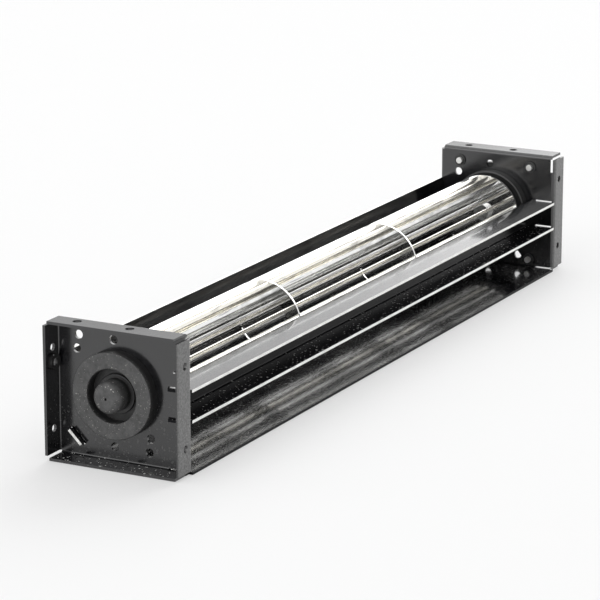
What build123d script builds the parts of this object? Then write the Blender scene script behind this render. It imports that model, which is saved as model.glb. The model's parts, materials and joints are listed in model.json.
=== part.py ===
"""Cross flow fan: a folded sheet casing, a 21 blade impeller and a flat motor at one end.

Frame, in millimetres: X runs along the impeller from the bearing end (-X) to the motor end
(+X), -Y is the side the air leaves by, +Z is up. The origin lies under the middle of the
casing, on the surface that it stands on.
"""
import os
from math import cos, radians, sin, sqrt, tan

from build123d import *

os.makedirs("parts", exist_ok=True)

# Casing sheet
SHEET = 1.0  # thickness of every folded sheet
BEND = 0.6  # inside radius of the folds
INNER_LENGTH = 299.5  # between the inner faces of the end plates
CASING_DEPTH = 51.2  # front to rear
CASING_HEIGHT = 48.1
FLANGE_WIDTH = 9.0  # of the end plates, turned outwards
FLANGE_HOLE_TOP = 3.1  # diameter, top and bottom flanges
FLANGE_HOLE_SIDE = 2.6  # diameter, front and rear flanges
TOP_HOLE_SPACING = 20.0
TOP_HOLE_SETBACK = 30.5  # from the front face to the middle of the row
SIDE_HOLE_SPACING = 28.0
PLATE_HOLE = 3.1  # diameter of the punched pattern
UPPER_HOLES = ((42.2, 5.5), (43.0, 10.3), (28.9, 5.7))  # from the front face, from the top
LOWER_HOLES = ((28.9, 5.7), (15.1, 10.4), (15.7, 5.5))  # from the front face, from the underside
PILOT_HOLE = 1.2
PILOT_SETBACK = 6.1  # from the front face
PILOT_DOWN = 13.6  # from the top

# Tabs of the long sheets, which pass through slots in the end plates
TAB_LENGTH = 6.5
TAB_PROUD = 1.1  # beyond the outer face of the end plate
CHAMFER_TAB_PROUD = 2.2
SLOT_PLAY = 0.4  # all round a tab
TAB_SETBACK = 4.75  # from the front face to the middle of the tab
FOLD_SLOT_LENGTH = 5.4  # the slot left in the front fold under the top corner
FOLD_SLOT_TOP = 1.4  # below the top face
FOLD_SLOT_WIDTH = 1.3

# Rear wall, scroll chamfer and floor: one sheet
REAR_WALL_HEIGHT = 34.5
CHAMFER_RISE = 14.6  # height and depth of the 45 degree run, along the middle of the sheet
CHAMFER_TAB_UP = 7.0  # height of the middle of its tab above the middle of the floor sheet

# Vortex wall: a channel, open to the front
VORTEX_RISE = 4.7  # its top above the impeller axis
VORTEX_HEIGHT = 11.4
VORTEX_GAP = 1.0  # between its web and the impeller

# Impeller
AXIS_SETBACK = 27.5  # from the front face
AXIS_RISE = 0.25  # above the middle height of the casing
IMPELLER_DIAMETER = 30.0
BLADES = 21
BLADE_THICKNESS = 0.4
BLADE_DEPTH = 4.2  # from the outer to the inner edge, along the radius
BLADE_LEAN = 12.0  # degrees, outer edge ahead of the inner one
BLADE_BULGE = 0.75
BLADE_INSET = 0.25  # outer edge below the rim of the discs
BLADE_PHASE = 10.7  # degrees from -Y towards +Z, first blade
BLADE_TAB_DEPTH = 1.4  # from the outer edge
BLADE_TAB_PROUD = 0.75
DISC_THICKNESS = 0.8
DISC_SLOT_PLAY = 0.05
BEARING_END_GAP = 5.0  # end plate to the middle of the end disc
MOTOR_END_GAP = 8.6
SECTIONS = 3
SUPPORT_RING_BORE = 19.0

# Bearing end
STUB_SHAFT_DIAMETER = 3.0
RUNNING_PLAY = 0.025  # radial
BUSH_DIAMETER = 8.0
BUSH_LENGTH = 5.0
SHAFT_END_PLAY = 0.5
DAMPER_DIAMETER = 29.8
DAMPER_PROUD = 4.3
DAMPER_BORE = 18.6
DAMPER_NECK = 26.0  # where it sits in the end plate
DAMPER_LIP = 1.2  # thickness of the lip behind the end plate
DAMPER_WEB = 1.0
DAMPER_ROUNDING = 0.4
BOSS_DIAMETER = 13.8
BOSS_HEIGHT = 1.0
BOSS_ROUNDING = 0.3
CAP_DIAMETER = 11.1
CAP_PROUD = 7.9
CAP_ROUNDING = 2.6
CAP_MOUTH = 6.8
CAP_VENT = 0.9
BUSH_SETBACK = 1.2  # from the outer face of the end plate to the inner end of the bush
HUB_DIAMETER = 6.4
HUB_COLLAR = 10.0
HUB_COLLAR_THICKNESS = 1.0
HUB_INSIDE = 2.6  # length of the hubs inside the impeller
BEARING_HUB_OUTSIDE = 2.9
STUB_INSIDE = 1.4  # length of the stub shaft inside the impeller

# Motor
SHROUD_DIAMETER = 31.6
SHROUD_PROUD = 4.35  # inwards of the end plate
SHROUD_WALL = 1.0
SHROUD_ROUNDING = 0.6
SHROUD_RIM = 37.0
SHROUD_RIM_THICKNESS = 0.8
SHROUD_BORE = 8.6
SHROUD_PLAY = 0.1
MOTOR_DEPTH = 7.8  # from the outer face of the end plate
MOTOR_WALL = 1.0
LUG_THICKNESS = 1.5
LUG_RADIUS = 2.7
FRONT_SCREW_SETBACK = 10.9  # from the front face
FRONT_SCREW_DOWN = 5.4  # from the top
FRONT_SCREW_UP = 4.0  # from the underside
MOTOR_SCREW_DIAMETER = 2.5
MOTOR_SCREW_HEAD = 4.6
MOTOR_SCREW_HEAD_HEIGHT = 1.7
MOTOR_SCREW_TIP = 1.6  # beyond the inner face of the end plate
GROMMET_NECK = 4.2
GROMMET_COLLAR = 4.7
GROMMET_COLLAR_THICKNESS = 0.5
MOTOR_SHAFT_DIAMETER = 2.0
MOTOR_BEARING_DIAMETER = 5.0
MOTOR_BEARING_WIDTH = 2.0
BEARING_TUBE_WALL = 0.9
ROTOR_DIAMETER = 28.0
ROTOR_WALL = 1.0
ROTOR_ROUNDING = 0.8
ROTOR_FRONT_PLAY = 0.8
ROTOR_LENGTH = 7.2
MAGNET_THICKNESS = 1.2
AIR_GAP = 0.5
STATOR_POLES = 6
STATOR_LENGTH = 4.0
POLE_WIDTH = 2.2
POLE_SHOE = 1.0
WINDING_BUILD = 1.1
BOARD_THICKNESS = 1.0
BOARD_PLAY = 0.5  # between the rotor and the board
BOARD_POSTS = 3
BOARD_POST_DIAMETER = 2.0
LEAD_OUTLET = (4.0, 2.2)

# Nut pressed into the rear flange at the bearing end
NUT_DIAMETER = 5.7
NUT_THREAD = 3.0
NUT_HEIGHT = 1.2
NUT_BELOW_HOLE = 4.95  # below the upper hole of the rear flange

# Places that follow from the sizes above
plate_inner = INNER_LENGTH / 2
plate_outer = plate_inner + SHEET
flange_middle = plate_inner + FLANGE_WIDTH / 2
front = -CASING_DEPTH / 2
impeller_radius = IMPELLER_DIAMETER / 2
rear = CASING_DEPTH / 2
height_middle = CASING_HEIGHT / 2
axis_y = front + AXIS_SETBACK
axis_z = height_middle + AXIS_RISE
nut_place = height_middle + SIDE_HOLE_SPACING / 2 - NUT_BELOW_HOLE
first_disc = -plate_inner + BEARING_END_GAP
last_disc = plate_inner - MOTOR_END_GAP
section_length = (last_disc - first_disc) / SECTIONS
pitch = 360 / BLADES
impeller_axis = Axis((0, axis_y, axis_z), (1, 0, 0))
axial_plane = Plane(origin=(0, axis_y, axis_z), x_dir=(1, 0, 0), z_dir=(0, -1, 0))
vortex_back = axis_y - impeller_radius - VORTEX_GAP
vortex_top = axis_z + VORTEX_RISE
vortex_bottom = vortex_top - VORTEX_HEIGHT
tab_middle = front + TAB_SETBACK
plate_holes = [(front + back, CASING_HEIGHT - down) for back, down in UPPER_HOLES]
plate_holes += [(front + back, up) for back, up in LOWER_HOLES]
pilot_place = (front + PILOT_SETBACK, CASING_HEIGHT - PILOT_DOWN)
motor_screw_places = (
    (front + FRONT_SCREW_SETBACK, CASING_HEIGHT - FRONT_SCREW_DOWN),
    (front + FRONT_SCREW_SETBACK, FRONT_SCREW_UP),
    plate_holes[0],
)


def across(x, angle=0.0):
    """Plane square to the impeller axis at x; its own x points from the axis towards -Y,
    turned by angle towards +Z."""
    turn = radians(angle)
    return Plane(origin=(x, axis_y, axis_z), x_dir=(0, -cos(turn), sin(turn)), z_dir=(1, 0, 0))


def save(builder, name):
    """Label a finished piece and write its STEP file."""
    builder.part.label = name
    export_step(builder.part, f"parts/{name}.step")


def turned(points, name, rounded=()):
    """Solid of revolution about the impeller axis from a closed outline of (x, radius)
    points; rounded lists (point, radius) pairs of corners to round."""
    with BuildPart() as piece:
        with BuildSketch(axial_plane) as outline:
            with BuildLine():
                Polyline(*points, close=True)
            make_face()
            for corner, radius in rounded:
                fillet(outline.vertices().sort_by_distance(Vector(*corner, 0))[0], radius)
        revolve(axis=impeller_axis)
    save(piece, name)


# ---------------------------------------------------------------- long casing sheets
def tab_profiles(growth):
    """Outlines, square to X, of the tabs: vortex wall top and bottom, floor, chamfer."""
    wide, thick = TAB_LENGTH + 2 * growth, SHEET + 2 * growth
    vortex = ((tab_middle, vortex_top - SHEET / 2), (tab_middle, vortex_bottom + SHEET / 2))
    floor = (tab_middle, SHEET / 2)
    chamfer = (rear - SHEET / 2 - CHAMFER_RISE + CHAMFER_TAB_UP,
               SHEET / 2 + CHAMFER_TAB_UP)
    return wide, thick, vortex, floor, chamfer


tab_reach = plate_outer + TAB_PROUD
tab_wide, tab_thick, vortex_tabs, floor_tab, chamfer_tab = tab_profiles(0)

with BuildPart() as rear_scroll_wall:
    wall_middle = rear - SHEET / 2
    with BuildSketch(Plane.YZ):
        with BuildLine():
            FilletPolyline(
                (wall_middle, REAR_WALL_HEIGHT),
                (wall_middle, SHEET / 2 + CHAMFER_RISE),
                (wall_middle - CHAMFER_RISE, SHEET / 2),
                (front, SHEET / 2),
                radius=BEND + SHEET / 2,
            )
        trace(line_width=SHEET)
    extrude(amount=plate_inner, both=True)
    with BuildSketch(Plane.YZ):
        with Locations(floor_tab):
            Rectangle(tab_wide, tab_thick)
    extrude(amount=tab_reach, both=True)
    with BuildSketch(Plane.YZ):
        with Locations(chamfer_tab):
            Rectangle(tab_wide, tab_thick, rotation=45)
    extrude(amount=plate_outer + CHAMFER_TAB_PROUD, both=True)
save(rear_scroll_wall, "rear_scroll_wall")

with BuildPart() as vortex_wall:
    web_middle = vortex_back - SHEET / 2
    with BuildSketch(Plane.YZ):
        with BuildLine():
            FilletPolyline(
                (front, vortex_top - SHEET / 2),
                (web_middle, vortex_top - SHEET / 2),
                (web_middle, vortex_bottom + SHEET / 2),
                (front, vortex_bottom + SHEET / 2),
                radius=BEND + SHEET / 2,
            )
        trace(line_width=SHEET)
    extrude(amount=plate_inner, both=True)
    with BuildSketch(Plane.YZ):
        with Locations(*vortex_tabs):
            Rectangle(tab_wide, tab_thick)
    extrude(amount=tab_reach, both=True)
save(vortex_wall, "vortex_wall")


# ---------------------------------------------------------------- end plates
def end_plate(side, opening, screw_holes, nut):
    """End plate with its four flanges turned outwards; side is -1 or +1 along X."""
    with BuildPart() as plate:
        with BuildSketch(Plane.YZ.offset(side * plate_inner)):
            with Locations((0, height_middle)):
                Rectangle(CASING_DEPTH, CASING_HEIGHT)
        extrude(amount=side * FLANGE_WIDTH)
        inner_face = plate.faces().sort_by(Axis.X)[0 if side > 0 else -1]
        fillet(inner_face.edges(), BEND + SHEET)
        outer_face = plate.faces().sort_by(Axis.X)[-1 if side > 0 else 0]
        offset(amount=-SHEET, openings=outer_face)
        with BuildSketch(Plane.YZ.offset(side * (plate_inner - SHEET))):
            with Locations((0, height_middle)):
                with GridLocations(CASING_DEPTH, CASING_HEIGHT, 2, 2):
                    Rectangle(2 * (BEND + SHEET), 2 * (BEND + SHEET))
        extrude(amount=side * (FLANGE_WIDTH + 2 * SHEET), mode=Mode.SUBTRACT)
        wide, thick, vortex, floor, chamfer = tab_profiles(SLOT_PLAY)
        with BuildSketch(Plane.YZ.offset(side * (plate_inner - SHEET))):
            with Locations((axis_y, axis_z)):
                Circle(opening / 2)
            with Locations(*plate_holes):
                Circle(PLATE_HOLE / 2)
            with Locations(*screw_holes):
                Circle(GROMMET_NECK / 2)
            with Locations(*vortex, floor):
                Rectangle(wide, thick)
            with Locations(chamfer):
                Rectangle(wide, thick, rotation=45)
            with Locations((front + SHEET + FOLD_SLOT_WIDTH / 2,
                            CASING_HEIGHT - FOLD_SLOT_TOP - FOLD_SLOT_LENGTH / 2)):
                Rectangle(FOLD_SLOT_WIDTH, FOLD_SLOT_LENGTH)
        extrude(amount=side * (2 * SHEET + TAB_PROUD + SLOT_PLAY), mode=Mode.SUBTRACT)
        with BuildSketch(Plane.XY):
            with Locations((side * flange_middle, front + TOP_HOLE_SETBACK)):
                with GridLocations(0, TOP_HOLE_SPACING, 1, 2):
                    Circle(FLANGE_HOLE_TOP / 2)
        extrude(amount=CASING_HEIGHT, mode=Mode.SUBTRACT)
        with BuildSketch(Plane.XZ):
            with Locations((side * flange_middle, height_middle)):
                with GridLocations(0, SIDE_HOLE_SPACING, 1, 2):
                    Circle(FLANGE_HOLE_SIDE / 2)
        extrude(amount=rear, both=True, mode=Mode.SUBTRACT)
        if nut:
            with BuildSketch(Plane.XZ):
                with Locations((side * flange_middle, nut_place)):
                    Circle(NUT_THREAD / 2)
            extrude(amount=-rear, mode=Mode.SUBTRACT)
            with BuildSketch(Plane.YZ.offset(side * plate_inner)):
                with Locations(pilot_place):
                    Circle(PILOT_HOLE / 2)
            extrude(amount=side * SHEET, mode=Mode.SUBTRACT)
    return plate


save(end_plate(-1, DAMPER_NECK, (), True), "bearing_end_plate")
save(end_plate(1, SHROUD_DIAMETER + 2 * SHROUD_PLAY, motor_screw_places, False), "motor_end_plate")

with BuildPart() as flange_nut:
    with BuildSketch(Plane.XZ.offset(SHEET - rear)):
        with Locations((-flange_middle, nut_place)):
            Circle(NUT_DIAMETER / 2)
            Circle(NUT_THREAD / 2, mode=Mode.SUBTRACT)
    extrude(amount=NUT_HEIGHT)
save(flange_nut, "flange_nut")

# ---------------------------------------------------------------- impeller
blade_outer = impeller_radius - BLADE_INSET
blade_inner = blade_outer - BLADE_DEPTH
blade_ahead = BLADE_DEPTH * tan(radians(BLADE_LEAN))
blade_middle = ((blade_outer + blade_inner) / 2, -(blade_ahead / 2 - BLADE_BULGE))
blade_from = first_disc + DISC_THICKNESS / 2
blade_to = last_disc - DISC_THICKNESS / 2


def blade_section(width):
    """Arc of a blade's section in its own plane, given a width; the outer edge leads."""
    with BuildSketch() as section:
        with BuildLine():
            ThreePointArc((blade_inner, 0), blade_middle, (blade_outer, -blade_ahead))
        trace(line_width=width)
    return section.sketch


def tab_section(width):
    """The outer part of a blade's section, which passes through the end discs."""
    with BuildSketch() as section:
        add(blade_section(width))
        Circle(blade_outer - BLADE_TAB_DEPTH, mode=Mode.SUBTRACT)
    return section.sketch


for k in range(BLADES):
    angle = BLADE_PHASE + k * pitch
    with BuildPart() as blade:
        with BuildSketch(across(blade_from, angle)):
            add(blade_section(BLADE_THICKNESS))
        extrude(amount=blade_to - blade_from)
        with BuildSketch(across(blade_from - DISC_THICKNESS - BLADE_TAB_PROUD, angle)):
            add(tab_section(BLADE_THICKNESS))
        extrude(amount=DISC_THICKNESS + BLADE_TAB_PROUD)
        with BuildSketch(across(blade_to, angle)):
            add(tab_section(BLADE_THICKNESS))
        extrude(amount=DISC_THICKNESS + BLADE_TAB_PROUD)
    save(blade, f"impeller_blade_{k + 1:02d}")


def disc(x, bore, slot, name):
    """Impeller disc centred at x with a bore and a slot for each blade."""
    with BuildPart() as piece:
        with BuildSketch(across(x - DISC_THICKNESS / 2)):
            Circle(impeller_radius)
            Circle(bore / 2, mode=Mode.SUBTRACT)
            with PolarLocations(0, BLADES, start_angle=-BLADE_PHASE):
                add(slot, mode=Mode.SUBTRACT)
        extrude(amount=DISC_THICKNESS)
    save(piece, name)


tab_slot = tab_section(BLADE_THICKNESS + 2 * DISC_SLOT_PLAY)
blade_slot = blade_section(BLADE_THICKNESS + 2 * DISC_SLOT_PLAY)
disc(first_disc, HUB_DIAMETER, tab_slot, "bearing_end_disc")
disc(last_disc, HUB_DIAMETER, tab_slot, "motor_end_disc")
for k in range(1, SECTIONS):
    disc(first_disc + k * section_length, SUPPORT_RING_BORE, blade_slot, f"support_ring_{k}")

# ---------------------------------------------------------------- bearing end
bush_inner_end = -plate_outer - BUSH_SETBACK
bush_outer_end = bush_inner_end - BUSH_LENGTH
bush_radius = BUSH_DIAMETER / 2
stub_radius = STUB_SHAFT_DIAMETER / 2
hub_radius = HUB_DIAMETER / 2
collar_radius = HUB_COLLAR / 2
damper_radius = DAMPER_DIAMETER / 2
cap_radius = CAP_DIAMETER / 2
damper_face = -plate_outer - DAMPER_PROUD
cap_end = -plate_outer - CAP_PROUD
lip_end = -plate_inner + DAMPER_LIP
web_back = -plate_outer + DAMPER_WEB
boss_top = -plate_outer - BOSS_HEIGHT

turned(
    (
        (cap_end, CAP_VENT / 2),
        (cap_end, cap_radius),
        (boss_top, cap_radius),
        (boss_top, BOSS_DIAMETER / 2),
        (-plate_outer, BOSS_DIAMETER / 2),
        (-plate_outer, DAMPER_BORE / 2),
        (damper_face, DAMPER_BORE / 2),
        (damper_face, damper_radius),
        (-plate_outer, damper_radius),
        (-plate_outer, DAMPER_NECK / 2),
        (-plate_inner, DAMPER_NECK / 2),
        (-plate_inner, damper_radius),
        (lip_end, damper_radius),
        (lip_end, DAMPER_BORE / 2),
        (web_back, DAMPER_BORE / 2),
        (web_back, CAP_MOUTH / 2),
        (bush_inner_end, CAP_MOUTH / 2),
        (bush_inner_end, bush_radius),
        (bush_outer_end, bush_radius),
        (bush_outer_end, CAP_VENT / 2),
    ),
    "bearing_damper",
    rounded=(
        ((cap_end, cap_radius), CAP_ROUNDING),
        ((damper_face, damper_radius), DAMPER_ROUNDING),
        ((damper_face, DAMPER_BORE / 2), DAMPER_ROUNDING),
        ((boss_top, BOSS_DIAMETER / 2), BOSS_ROUNDING),
    ),
)
turned(
    (
        (bush_outer_end, stub_radius + RUNNING_PLAY),
        (bush_outer_end, bush_radius),
        (bush_inner_end, bush_radius),
        (bush_inner_end, stub_radius + RUNNING_PLAY),
    ),
    "bearing_bush",
)
turned(
    (
        (bush_outer_end + SHAFT_END_PLAY, 0),
        (bush_outer_end + SHAFT_END_PLAY, stub_radius),
        (first_disc + STUB_INSIDE, stub_radius),
        (first_disc + STUB_INSIDE, 0),
    ),
    "stub_shaft",
)


def hub(disc_middle, side, outside, bore, name):
    """Flanged hub in an end disc; side is -1 or +1, outside its length beyond the disc."""
    face = disc_middle + side * DISC_THICKNESS / 2
    inner = disc_middle - side * HUB_INSIDE
    outer = face + side * outside
    collar = face + side * HUB_COLLAR_THICKNESS
    turned(
        (
            (inner, bore / 2),
            (inner, hub_radius),
            (face, hub_radius),
            (face, collar_radius),
            (collar, collar_radius),
            (collar, hub_radius),
            (outer, hub_radius),
            (outer, bore / 2),
        ),
        name,
    )


hub(first_disc, -1, BEARING_HUB_OUTSIDE, STUB_SHAFT_DIAMETER, "bearing_hub")

# ---------------------------------------------------------------- motor
shroud_radius = SHROUD_DIAMETER / 2
shroud_face = plate_inner - SHROUD_PROUD
rotor_front = shroud_face + SHROUD_WALL + ROTOR_FRONT_PLAY
rotor_end = rotor_front + ROTOR_LENGTH
rotor_radius = ROTOR_DIAMETER / 2
magnet_outer = rotor_radius - ROTOR_WALL
magnet_inner = magnet_outer - MAGNET_THICKNESS
stator_radius = magnet_inner - AIR_GAP
motor_end = plate_outer + MOTOR_DEPTH
motor_floor = motor_end - MOTOR_WALL
rim_face = plate_outer + SHROUD_RIM_THICKNESS
lug_face = rim_face + LUG_THICKNESS
shaft_radius = MOTOR_SHAFT_DIAMETER / 2
bearing_radius = MOTOR_BEARING_DIAMETER / 2
tube_radius = bearing_radius + BEARING_TUBE_WALL
board_front = rotor_end + BOARD_PLAY
stator_front = rotor_end - STATOR_LENGTH - WINDING_BUILD
tube_front = stator_front - 2 * AIR_GAP
hub(last_disc, 1, rotor_front - last_disc - DISC_THICKNESS / 2, MOTOR_SHAFT_DIAMETER, "motor_hub")

turned(
    (
        (shroud_face, SHROUD_BORE / 2),
        (shroud_face, shroud_radius),
        (plate_outer, shroud_radius),
        (plate_outer, SHROUD_RIM / 2),
        (rim_face, SHROUD_RIM / 2),
        (rim_face, shroud_radius - SHROUD_WALL),
        (shroud_face + SHROUD_WALL, shroud_radius - SHROUD_WALL),
        (shroud_face + SHROUD_WALL, SHROUD_BORE / 2),
    ),
    "motor_shroud",
    rounded=(((shroud_face, shroud_radius), SHROUD_ROUNDING),),
)

with BuildPart() as motor_flange:
    with BuildSketch(Plane.YZ.offset(rim_face)):
        with Locations((axis_y, axis_z)):
            Circle(SHROUD_RIM / 2)
        for place in motor_screw_places:
            with BuildLine():
                Line((axis_y, axis_z), place)
            trace(line_width=2 * LUG_RADIUS)
            with Locations(place):
                Circle(LUG_RADIUS)
    extrude(amount=LUG_THICKNESS)
    with BuildSketch(Plane.YZ.offset(lug_face)):
        with Locations((axis_y, axis_z)):
            Circle(shroud_radius)
    extrude(amount=motor_end - lug_face)
    fillet(motor_flange.faces().sort_by(Axis.X)[-1].edges(), MOTOR_WALL / 2)
    with BuildSketch(Plane.YZ.offset(rim_face)):
        with Locations((axis_y, axis_z)):
            Circle(shroud_radius - SHROUD_WALL)
    extrude(amount=motor_floor - rim_face, mode=Mode.SUBTRACT)
    with BuildSketch(Plane.YZ.offset(tube_front)):
        with Locations((axis_y, axis_z)):
            Circle(tube_radius)
    extrude(amount=motor_floor - tube_front)
    with BuildSketch(Plane.YZ.offset(board_front + BOARD_THICKNESS)):
        with Locations((axis_y, axis_z)):
            with PolarLocations(stator_radius, BOARD_POSTS):
                Circle(BOARD_POST_DIAMETER / 2)
    extrude(amount=motor_floor - board_front - BOARD_THICKNESS)
    with BuildSketch(Plane.YZ.offset(tube_front)):
        with Locations((axis_y, axis_z)):
            Circle(bearing_radius)
    extrude(amount=motor_floor - tube_front, mode=Mode.SUBTRACT)
    with BuildSketch(Plane.YZ.offset(rim_face)):
        with Locations(*motor_screw_places):
            Circle(MOTOR_SCREW_DIAMETER / 2)
    extrude(amount=LUG_THICKNESS, mode=Mode.SUBTRACT)
    with BuildSketch(Plane.XZ.offset(-axis_y - shroud_radius)):
        with Locations((motor_floor - LEAD_OUTLET[1] / 2, axis_z)):
            Rectangle(LEAD_OUTLET[1], LEAD_OUTLET[0])
    extrude(amount=2 * SHROUD_WALL, both=True, mode=Mode.SUBTRACT)
save(motor_flange, "motor_flange")

turned(
    (
        (rotor_front, shaft_radius),
        (rotor_front, rotor_radius),
        (rotor_end, rotor_radius),
        (rotor_end, magnet_outer),
        (rotor_front + ROTOR_WALL, magnet_outer),
        (rotor_front + ROTOR_WALL, shaft_radius),
    ),
    "rotor_cup",
    rounded=(((rotor_front, rotor_radius), ROTOR_ROUNDING),),
)
turned(
    (
        (rotor_front + ROTOR_WALL, magnet_inner),
        (rotor_front + ROTOR_WALL, magnet_outer),
        (rotor_end, magnet_outer),
        (rotor_end, magnet_inner),
    ),
    "magnet_ring",
)
turned(
    (
        (last_disc - HUB_INSIDE, 0),
        (last_disc - HUB_INSIDE, shaft_radius),
        (motor_floor - SHAFT_END_PLAY, shaft_radius),
        (motor_floor - SHAFT_END_PLAY, 0),
    ),
    "motor_shaft",
)
for start, name in (
    (tube_front, "motor_bearing_inner"),
    (motor_floor - MOTOR_BEARING_WIDTH, "motor_bearing_outer"),
):
    turned(
        (
            (start, shaft_radius + RUNNING_PLAY),
            (start, bearing_radius),
            (start + MOTOR_BEARING_WIDTH, bearing_radius),
            (start + MOTOR_BEARING_WIDTH, shaft_radius + RUNNING_PLAY),
        ),
        name,
    )

pole_root = tube_radius + POLE_SHOE
with BuildPart() as stator_core:
    with BuildSketch(across(stator_front)):
        Circle(stator_radius)
        Circle(stator_radius - POLE_SHOE, mode=Mode.SUBTRACT)
        with PolarLocations(stator_radius, STATOR_POLES, start_angle=180 / STATOR_POLES):
            Rectangle(4 * POLE_SHOE, POLE_WIDTH / 2, mode=Mode.SUBTRACT)
        Circle(pole_root)
        with PolarLocations(0, STATOR_POLES):
            Rectangle(stator_radius - POLE_SHOE / 2, POLE_WIDTH, align=(Align.MIN, Align.CENTER))
        Circle(tube_radius, mode=Mode.SUBTRACT)
    extrude(amount=STATOR_LENGTH)
save(stator_core, "stator_core")

coil_half = POLE_WIDTH / 2 + WINDING_BUILD
coil_from = pole_root + POLE_SHOE
coil_to = sqrt((stator_radius - POLE_SHOE) ** 2 - coil_half**2)
coil_middle = (coil_from + coil_to) / 2
with BuildPart() as stator_coils:
    with BuildSketch(across(stator_front - WINDING_BUILD / 2)):
        with PolarLocations(coil_middle, STATOR_POLES):
            Rectangle(coil_to - coil_from, 2 * coil_half)
    extrude(amount=STATOR_LENGTH + WINDING_BUILD)
    with BuildSketch(across(stator_front)):
        with PolarLocations(coil_middle, STATOR_POLES):
            Rectangle(2 * coil_to, POLE_WIDTH)
    extrude(amount=STATOR_LENGTH, mode=Mode.SUBTRACT)
save(stator_coils, "stator_coils")

turned(
    (
        (board_front, tube_radius),
        (board_front, magnet_outer),
        (board_front + BOARD_THICKNESS, magnet_outer),
        (board_front + BOARD_THICKNESS, tube_radius),
    ),
    "circuit_board",
)

# Rubber grommets in the end plate and the screws that clamp the motor through them
with BuildPart() as motor_grommets:
    for start, length, diameter in (
        (plate_inner - GROMMET_COLLAR_THICKNESS, GROMMET_COLLAR_THICKNESS, GROMMET_COLLAR),
        (plate_inner, SHEET, GROMMET_NECK),
        (plate_outer, SHROUD_RIM_THICKNESS, GROMMET_COLLAR),
    ):
        with BuildSketch(Plane.YZ.offset(start)):
            with Locations(*motor_screw_places):
                Circle(diameter / 2)
                Circle(MOTOR_SCREW_DIAMETER / 2, mode=Mode.SUBTRACT)
        extrude(amount=length)
save(motor_grommets, "motor_grommets")

with BuildPart() as motor_screws:
    with BuildSketch(Plane.YZ.offset(plate_inner - MOTOR_SCREW_TIP)):
        with Locations(*motor_screw_places):
            Circle(MOTOR_SCREW_DIAMETER / 2)
    extrude(amount=MOTOR_SCREW_TIP + lug_face - plate_inner)
    with BuildSketch(Plane.YZ.offset(lug_face)):
        with Locations(*motor_screw_places):
            Circle(MOTOR_SCREW_HEAD / 2)
    extrude(amount=MOTOR_SCREW_HEAD_HEIGHT)
save(motor_screws, "motor_screws")
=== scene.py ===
"""Cross flow fan: materials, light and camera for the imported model."""
import json

import bpy
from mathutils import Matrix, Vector


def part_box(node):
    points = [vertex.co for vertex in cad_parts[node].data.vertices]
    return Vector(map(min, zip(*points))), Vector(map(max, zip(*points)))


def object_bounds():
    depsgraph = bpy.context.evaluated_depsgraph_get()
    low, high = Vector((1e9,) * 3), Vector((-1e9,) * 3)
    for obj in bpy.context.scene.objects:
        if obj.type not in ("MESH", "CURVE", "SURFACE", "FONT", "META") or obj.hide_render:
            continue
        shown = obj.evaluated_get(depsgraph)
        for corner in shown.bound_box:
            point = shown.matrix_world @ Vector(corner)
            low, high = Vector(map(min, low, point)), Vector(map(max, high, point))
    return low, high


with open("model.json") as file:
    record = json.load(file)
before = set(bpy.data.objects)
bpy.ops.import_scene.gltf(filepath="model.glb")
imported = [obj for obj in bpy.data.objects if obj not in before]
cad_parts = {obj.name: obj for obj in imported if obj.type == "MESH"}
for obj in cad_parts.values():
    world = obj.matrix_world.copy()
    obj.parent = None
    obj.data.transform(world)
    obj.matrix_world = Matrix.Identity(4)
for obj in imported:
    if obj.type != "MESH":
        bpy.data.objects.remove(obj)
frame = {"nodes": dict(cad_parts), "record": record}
nodes = frame["nodes"]
cad_low, cad_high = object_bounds()

# Camera
CAMERA_AT = Vector((-0.98622, -0.50213, 0.31792))
CAMERA_BACK = Vector((-0.8559, -0.44714, 0.2596))  # from the object towards the camera
CAMERA_LENS = 185.5  # mm
CAMERA_SENSOR = 36  # mm wide
CAMERA_CLIP = (0.05, 50)  # m

# Materials
EVEN = (1, 1, 1)  # no stretch along any axis
BUMP_HEIGHT = 0.0001  # m
PLATE_LACQUER = {"IOR": 1.6, "Specular_IOR_Level": 0.75}
WALL_LACQUER = {"IOR": 1.5, "Specular_IOR_Level": 0.1}
PLATE_GLOSS = (0.14, 0.24)  # lowest and highest roughness
WALL_GLOSS = (0.12, 0.24)
FILM_DARK = (0.004, 0.004, 0.005)
FILM_LIGHT = (0.01, 0.01, 0.012)
# Painted light: a grey mixed into the lacquer of the front faces, lightening them as if lit from
# the front.
PAINTED_FRONT_LIGHT_COLOUR = (0.5, 0.5, 0.49)
PAINTED_FRONT_LIGHT_DEPTH = 0.0005  # how far behind the front of the casing a face still gets the painted light, m
DUST_COLOUR = (0.72, 0.72, 0.7)
DUST_HEIGHTS = (0.018, 0.028)  # between these heights the dust thins out, m
HIGH_DUST = 0.1  # share of the dust that is left above them
EDGE = 0.00006  # how near a cut end counts as bare, m
EDGE_FACING = 0.7  # how squarely a face has to look along an axis to count as cut
EDGE_ROUGHNESS = 0.45
EDGE_DARK = (0.75, 0.75, 0.73)
EDGE_LIGHT = (0.97, 0.97, 0.95)
RECESS_SHADE_START = 0.0042  # how far from its tip the rubber keeps its own tone before the painted recess shade begins, m
RECESS_SHADE_FULL = 0.0056  # where the painted recess shade is full, m
# Painted shade: near black for the rubber deep in its recess, where little light reaches.
RUBBER_PAINTED_SHADE = (0.006, 0.006, 0.006)
RUBBER_DARK = (0.022, 0.022, 0.022)
RUBBER_LIGHT = (0.085, 0.085, 0.085)
RUBBER_DUST = (0.42, 0.41, 0.38)
WARM_BLADES = (2, 5, 6, 9, 10, 16)
RIMS = ("bearing_end_disc", "support_ring_1", "support_ring_2", "motor_end_disc")

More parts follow.
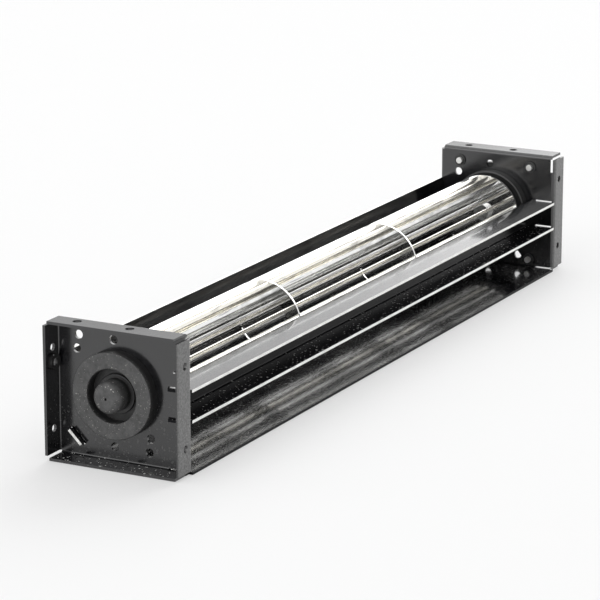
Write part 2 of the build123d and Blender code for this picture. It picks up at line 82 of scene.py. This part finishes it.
# Surroundings. A spread is the two cosines to a side between which its light rises.
FLOOR_COLOUR = (0.4, 0.4, 0.4)
FLOOR_GLOW = 0.44  # what lifts the floor to white for the camera and for reflections
FLOOR_SPAN = 6.0  # m from the middle to each edge
FLOOR_DROP = 0.0002  # below the underside of the casing, m
FLOOR_CORNERS = ((-1, -1), (1, -1), (1, 1), (-1, 1))
ROOM_LEVEL = 0.12  # light from the dark side of the studio
SKY_SIDE = Vector((0, 0, 1))
SKY_SPREAD = (0.1, 0.75)
SKY_LEVEL = 0.96
BACKDROP_SIDE = Vector((0.5, 0.8, 0.1))
BACKDROP_SPREAD = (0.0, 0.7)
BACKDROP_LEVEL = 0.75
FAR_SIDE = Vector((0.87, 0, 0.5))  # what the near side of the impeller mirrors
FAR_SPREAD = (0.855, 0.92)
FAR_LEVEL = 3.1
NEAR_SIDE = Vector((-0.86, 0.2, 0.46))  # what the motor end mirrors, by way of the impeller
NEAR_SPREAD = (0.88, 0.96)
NEAR_LEVEL = 2.2
LAMP_AT = Vector((0.15, 0.45, 1.3))
LAMP_TARGET = Vector((0, 0, 0))
LAMP_SIZE = (1.4, 0.8)  # m
LAMP_WATTS = 2


# ------------------------------------------------------------------ materials
class Finish:
    """A node material under construction, with short helpers for its nodes."""

    def __init__(self, name, **shader):
        self.material = bpy.data.materials.new(name)
        self.material.use_nodes = True
        self.nodes = self.material.node_tree.nodes
        self.links = self.material.node_tree.links
        self.shader = self.nodes["Principled BSDF"]
        self.put(self.shader, **shader)
        self.coordinates = self.add("ShaderNodeTexCoord").outputs

    def put(self, node, **values):
        """Set input sockets by name, underscores standing for spaces."""
        for socket, value in values.items():
            node.inputs[socket.replace("_", " ")].default_value = value
        return node

    def add(self, kind, **values):
        """New node of a kind, with input values as for put."""
        return self.put(self.nodes.new(kind), **values)

    def link(self, source, target):
        self.links.new(source, target)

    def shade(self, socket, source):
        """Drive an input of the shader."""
        self.link(source, self.shader.inputs[socket])

    def place(self, stretch):
        """Object coordinates in metres, stretched along the axes."""
        mapping = self.add("ShaderNodeMapping", Scale=stretch)
        self.link(self.coordinates["Object"], mapping.inputs["Vector"])
        return mapping.outputs["Vector"]

    def noise(self, scale, stretch=EVEN, detail=3.0, roughness=0.5):
        """Noise from 0 to 1, scale features per metre."""
        node = self.add("ShaderNodeTexNoise", Scale=scale, Detail=detail, Roughness=roughness)
        self.link(self.place(stretch), node.inputs["Vector"])
        return node.outputs["Fac"]

    def math(self, operation, first, second):
        """Math node on two sockets or numbers."""
        node = self.nodes.new("ShaderNodeMath")
        node.operation = operation
        for socket, value in zip(node.inputs, (first, second)):
            if isinstance(value, (int, float)):
                socket.default_value = value
            else:
                self.link(value, socket)
        return node.outputs["Value"]

    def ramp(self, factor, *stops):
        """Colour ramp with stops of (position, colour)."""
        node = self.add("ShaderNodeValToRGB")
        elements = node.color_ramp.elements
        while len(elements) < len(stops):
            elements.new(0.5)
        for element, (position, colour) in zip(elements, stops):
            element.position = position
            element.color = (*colour, 1)
        self.link(factor, node.inputs["Fac"])
        return node.outputs["Color"]

    def range(self, factor, low, high, to_low, to_high):
        """Carry low to high over to to_low to to_high, clamped."""
        node = self.add("ShaderNodeMapRange", From_Min=low, From_Max=high, To_Min=to_low,
                        To_Max=to_high)
        self.link(factor, node.inputs["Value"])
        return node.outputs["Result"]

    def mix(self, factor, first, second):
        """Colour between first and second, each a socket or a colour."""
        node = self.nodes.new("ShaderNodeMix")
        node.data_type = "RGBA"
        colours = [socket for socket in node.inputs if socket.type == "RGBA"]
        for socket, value in zip(colours, (first, second)):
            if isinstance(value, tuple):
                socket.default_value = (*value, 1)
            else:
                self.link(value, socket)
        self.link(factor, node.inputs["Factor"])
        return next(socket for socket in node.outputs if socket.type == "RGBA")

    def bump(self, height, strength, distance=BUMP_HEIGHT):
        """Bump the surface by a height from 0 to 1."""
        node = self.add("ShaderNodeBump", Strength=strength, Distance=distance)
        self.link(height, node.inputs["Height"])
        self.shade("Normal", node.outputs["Normal"])

    def axes(self, source):
        """X, Y and Z of a vector socket."""
        node = self.nodes.new("ShaderNodeSeparateXYZ")
        self.link(source, node.inputs["Vector"])
        return node.outputs

    def specks(self, scale, share, size):
        """1 on scattered round specks: scale cells per metre, share of the cells with one."""
        node = self.add("ShaderNodeTexVoronoi", Scale=scale)
        self.link(self.coordinates["Object"], node.inputs["Vector"])
        chosen = self.axes(node.outputs["Color"])
        there = self.math("LESS_THAN", chosen["X"], share)
        reach = self.math("MULTIPLY", chosen["Y"], size)
        return self.math("MULTIPLY", there, self.math("LESS_THAN", node.outputs["Distance"], reach))


def coated_sheet(name, lacquer, gloss, coat, painted_front_light, dusty, bare=()):
    """Black lacquer on folded sheet, with orange peel.

    lacquer: values of the shader; gloss: lowest and highest roughness; coat: clear coat on the
    faces that lie flat; painted_front_light: painted light, the share of grey that lightens the
    outermost front faces; dusty: share of the dust; bare: the cut edges that show metal, each as
    (axis, side, limit), which stands for the faces that look along the axis beyond the limit."""
    finish = Finish(name, Coat_Roughness=0.07, Coat_IOR=1.7, **lacquer)
    normal = finish.axes(finish.coordinates["Normal"])
    at = finish.axes(finish.coordinates["Object"])
    lying = finish.range(normal["Z"], 0.5, 0.9, 0.0, 1.0)
    finish.shade("Coat Weight", finish.range(lying, 0, 1, 0.0, coat))

    film = finish.ramp(finish.noise(60, detail=5.0), (0.35, FILM_DARK), (0.75, FILM_LIGHT))
    # Painted light: the outermost front faces are lightened towards grey in cloudy patches,
    # standing in for light falling on them.
    front = finish.math("LESS_THAN", at["Y"], cad_low.y + PAINTED_FRONT_LIGHT_DEPTH)
    front_light_share = finish.range(finish.noise(1500, detail=4.0), 0.35, 0.65, 0.5 * painted_front_light, painted_front_light)
    film = finish.mix(finish.math("MULTIPLY", front, front_light_share), film, PAINTED_FRONT_LIGHT_COLOUR)

    dust = finish.math("MAXIMUM", finish.specks(1100, 0.42, 0.36), finish.specks(650, 0.25, 0.3))
    dust = finish.math("MULTIPLY", dust, finish.range(lying, 0, 1, 0.08, 1.0))
    settled = finish.range(at["Z"], *DUST_HEIGHTS, dusty, HIGH_DUST * dusty)
    colour = finish.mix(finish.math("MULTIPLY", dust, settled), film, DUST_COLOUR)
    rough = finish.range(finish.noise(90, detail=4.0), 0.3, 0.7, *gloss)

    if bare:
        cut = 0.0
        for axis, side, limit in bare:
            beyond = finish.math("GREATER_THAN", finish.math("MULTIPLY", at[axis], side), limit)
            along = finish.math("MULTIPLY", normal[axis], side)
            facing = finish.math("GREATER_THAN", along, EDGE_FACING)
            cut = finish.math("MAXIMUM", finish.math("MULTIPLY", beyond, facing), cut)
        metal = finish.ramp(finish.noise(700, (0.3, 1, 1)), (0.3, EDGE_DARK), (0.7, EDGE_LIGHT))
        colour = finish.mix(cut, colour, metal)
        rough = finish.math("MAXIMUM", rough, finish.math("MULTIPLY", cut, EDGE_ROUGHNESS))
        finish.shade("Metallic", cut)
    finish.shade("Base Color", colour)
    finish.shade("Roughness", rough)
    finish.bump(finish.noise(900, detail=2.0), 0.06)
    return finish.material


def plain(name, colour, metallic, roughness, grain, stretch=EVEN, depth=0.15):
    """A finish with slight colour and roughness variation and a fine bump."""
    finish = Finish(name, Metallic=metallic)
    tone = finish.noise(grain / 4, stretch)
    darker = tuple(0.82 * c for c in colour)
    finish.shade("Base Color", finish.ramp(tone, (0.35, darker), (0.7, colour)))
    finish.shade("Roughness", finish.range(tone, 0.3, 0.7, 0.8 * roughness, 1.2 * roughness))
    finish.bump(finish.noise(grain, stretch), depth)
    return finish.material


def blade_metal(name, colour):
    """Bright rolled aluminium strip with fine lines along the blade, dark scratches and small
    dull marks."""
    finish = Finish(name, Metallic=1.0)
    lines = finish.noise(2500, (0.01, 1, 1), detail=4.0)
    marks = finish.noise(120, (0.35, 1, 1), detail=5.0, roughness=0.65)
    scratches = finish.noise(1300, (0.03, 1, 1), detail=2.0)
    dull = tuple(0.65 * c for c in colour)
    dark = tuple(0.3 * c for c in colour)
    marked = finish.ramp(marks, (0.34, dull), (0.5, colour))
    scratched = finish.range(scratches, 0.28, 0.36, 1.0, 0.0)
    finish.shade("Base Color", finish.mix(scratched, marked, dark))
    worn = finish.range(marks, 0.35, 0.6, 0.22, 0.11)
    finish.shade("Roughness", finish.math("ADD", worn, finish.math("MULTIPLY", lines, 0.06)))
    finish.bump(lines, 0.04)
    return finish.material


def moulded_rubber():
    """Matt black rubber with a coarse surface, grey and dusty where it stands out of the end
    plate, and turned near black by painted shade in its recess."""
    finish = Finish("damper_rubber", Specular_IOR_Level=0.85)
    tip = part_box("bearing_damper")[0][0]
    along = finish.axes(finish.coordinates["Object"])["X"]
    # Painted shade: the rubber fades to near black deeper in its recess, and the dust stops there
    # too.
    outside_recess_shade = finish.range(along, tip + RECESS_SHADE_START, tip + RECESS_SHADE_FULL, 1.0, 0.0)

    base = finish.ramp(finish.noise(500, detail=6.0, roughness=0.7),
                       (0.3, RUBBER_DARK), (0.7, RUBBER_LIGHT))
    base = finish.mix(outside_recess_shade, RUBBER_PAINTED_SHADE, base)
    dust = finish.math("MAXIMUM", finish.specks(1300, 0.24, 0.33), finish.specks(2600, 0.25, 0.38))
    dust = finish.math("MULTIPLY", dust, outside_recess_shade)
    finish.shade("Base Color", finish.mix(dust, base, RUBBER_DUST))
    finish.shade("Roughness", finish.range(finish.noise(300), 0.3, 0.7, 0.45, 0.65))
    finish.bump(finish.noise(2600, detail=4.0, roughness=0.7), 0.45, 2 * BUMP_HEIGHT)
    return finish.material


def cut_edge(node, axis, side):
    """The outermost edge of a node on one side of an axis, as coated_sheet takes it."""
    low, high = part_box(node)
    index = "XYZ".index(axis)
    reach = high[index] if side > 0 else -low[index]
    return axis, side, reach - EDGE


SCROLL_EDGES = [cut_edge("rear_scroll_wall", axis, side)
                for axis, side in (("Z", 1), ("X", -1), ("X", 1))]
VORTEX_EDGES = [cut_edge("vortex_wall", "Y", -1)]
WARM_METAL = blade_metal("blade_aluminium_warm", (0.9, 0.875, 0.81))
RIM_METAL = plain("rim_aluminium", (0.95, 0.95, 0.94), 1.0, 0.1, 2500, depth=0.05)

# The material of each slot of the record.
MATERIALS = {
    "blade_aluminium": blade_metal("blade_aluminium", (0.9, 0.9, 0.89)),
    "hub_aluminium": plain("hub_aluminium", (0.76, 0.76, 0.76), 1.0, 0.3, 2500),
    "damper_rubber": moulded_rubber(),
    "zinc_steel": plain("zinc_steel", (0.92, 0.92, 0.9), 1.0, 0.42, 1500),
    "shaft_steel": plain("shaft_steel", (0.62, 0.62, 0.63), 1.0, 0.2, 3000, (1, 0.05, 0.05)),
    "sintered_bronze": plain("sintered_bronze", (0.42, 0.28, 0.14), 1.0, 0.45, 6000, depth=0.4),
    "motor_black": plain("motor_black", (0.03, 0.03, 0.03), 0.0, 0.22, 1200),
    "rotor_steel": plain("rotor_steel", (0.03, 0.03, 0.03), 0.0, 0.35, 1800),
    "magnet_ferrite": plain("magnet_ferrite", (0.09, 0.09, 0.09), 0.0, 0.55, 2500, depth=0.3),
    "core_steel": plain("core_steel", (0.45, 0.45, 0.46), 1.0, 0.35, 9000, (1, 0.02, 0.02)),
    "coil_copper": plain("coil_copper", (0.72, 0.32, 0.15), 1.0, 0.3, 4000, (0.1, 1, 1), 0.5),
    "board_green": plain("board_green", (0.05, 0.2, 0.09), 0.0, 0.4, 2000),
    "casing_sheet": coated_sheet("casing_sheet", PLATE_LACQUER, PLATE_GLOSS,
                                 coat=0.0, painted_front_light=0.27, dusty=1.0),
}

# The nodes that look different from the rest of their slot.
LOOKS = {
    "rear_scroll_wall": coated_sheet("scroll_sheet", WALL_LACQUER, WALL_GLOSS,
                                     coat=0.62, painted_front_light=0.0, dusty=0.25, bare=SCROLL_EDGES),
    "vortex_wall": coated_sheet("vortex_sheet", WALL_LACQUER, WALL_GLOSS,
                                coat=1.0, painted_front_light=0.0, dusty=1.0, bare=VORTEX_EDGES),
    "flange_nut": plain("nut_black", (0.02, 0.02, 0.02), 0.0, 0.12, 1500),
}
LOOKS.update((rim, RIM_METAL) for rim in RIMS)
LOOKS.update((f"impeller_blade_{number:02d}", WARM_METAL) for number in WARM_BLADES)

for part in frame["record"]["subparts"]:
    material = LOOKS.get(part["node"], MATERIALS[part["material_slot"]])
    for material_slot in nodes[part["node"]].material_slots:
        material_slot.material = material


# ------------------------------------------------------------------ surroundings
def flat_stage(name, corners, material):
    """Flat stage object through its corners."""
    mesh = bpy.data.meshes.new(name)
    mesh.from_pydata(corners, [], [range(len(corners))])
    mesh.materials.append(material)
    piece = bpy.data.objects.new(name, mesh)
    bpy.context.collection.objects.link(piece)


def aim(piece, place, sight):
    """Put a lamp or the camera at place, facing along sight, and link it."""
    piece.location = place
    piece.rotation_mode = "QUATERNION"
    piece.rotation_quaternion = sight.to_track_quat("-Z", "Y")
    bpy.context.collection.objects.link(piece)


def floor_paper():
    """White paper that also glows for what the camera sees, directly, in gloss or through."""
    finish = Finish("floor_paper", Base_Color=(*FLOOR_COLOUR, 1), Roughness=0.9,
                    Emission_Color=(1, 1, 1, 1))
    rays = finish.add("ShaderNodeLightPath").outputs
    mirrored = finish.math("MAXIMUM", rays["Is Glossy Ray"], rays["Is Transmission Ray"])
    seen = finish.math("MAXIMUM", rays["Is Camera Ray"], mirrored)
    finish.shade("Emission Strength", finish.math("MULTIPLY", seen, FLOOR_GLOW))
    return finish.material


flat_stage("floor", [(FLOOR_SPAN * x, FLOOR_SPAN * y, -FLOOR_DROP) for x, y in FLOOR_CORNERS],
           floor_paper())

world = bpy.data.worlds.new("studio")
bpy.context.scene.world = world
world.use_nodes = True
world_nodes, world_links = world.node_tree.nodes, world.node_tree.links
direction = world_nodes.new("ShaderNodeTexCoord").outputs["Generated"]


def glow(towards, spread, level):
    """Light that rises to level where the direction nears towards."""
    nearness = world_nodes.new("ShaderNodeVectorMath")
    nearness.operation = "DOT_PRODUCT"
    nearness.inputs[1].default_value = towards.normalized()
    world_links.new(direction, nearness.inputs[0])
    rise = world_nodes.new("ShaderNodeMapRange")
    rise.interpolation_type = "SMOOTHSTEP"
    start, end = spread
    for socket, value in (("From Min", start), ("From Max", end),
                          ("To Min", ROOM_LEVEL), ("To Max", level)):
        rise.inputs[socket].default_value = value
    world_links.new(nearness.outputs["Value"], rise.inputs["Value"])
    return rise.outputs["Result"]


def highest(*sources):
    """The highest of two or more sockets of the world."""
    first, *rest = sources
    if not rest:
        return first
    node = world_nodes.new("ShaderNodeMath")
    node.operation = "MAXIMUM"
    world_links.new(first, node.inputs[0])
    world_links.new(highest(*rest), node.inputs[1])
    return node.outputs["Value"]


light = highest(glow(SKY_SIDE, SKY_SPREAD, SKY_LEVEL),
                glow(BACKDROP_SIDE, BACKDROP_SPREAD, BACKDROP_LEVEL),
                glow(FAR_SIDE, FAR_SPREAD, FAR_LEVEL),
                glow(NEAR_SIDE, NEAR_SPREAD, NEAR_LEVEL))
rays = world_nodes.new("ShaderNodeLightPath").outputs
seen = highest(rays["Is Camera Ray"], rays["Is Glossy Ray"], rays["Is Transmission Ray"])
background = world_nodes["Background"].inputs
background["Color"].default_value = (1, 1, 1, 1)
world_links.new(highest(light, seen), background["Strength"])

soft_box = bpy.data.lights.new("overhead", "AREA")
soft_box.shape = "RECTANGLE"
soft_box.size, soft_box.size_y = LAMP_SIZE
soft_box.energy = LAMP_WATTS
aim(bpy.data.objects.new("overhead", soft_box), LAMP_AT, LAMP_TARGET - LAMP_AT)

# ------------------------------------------------------------------ camera
camera_data = bpy.data.cameras.new("camera")
camera_data.lens = CAMERA_LENS
camera_data.sensor_width = CAMERA_SENSOR
camera_data.clip_start, camera_data.clip_end = CAMERA_CLIP
camera = bpy.data.objects.new("camera", camera_data)
aim(camera, CAMERA_AT, -CAMERA_BACK)
bpy.context.scene.camera = camera

bpy.context.scene.view_settings.view_transform = "Standard"
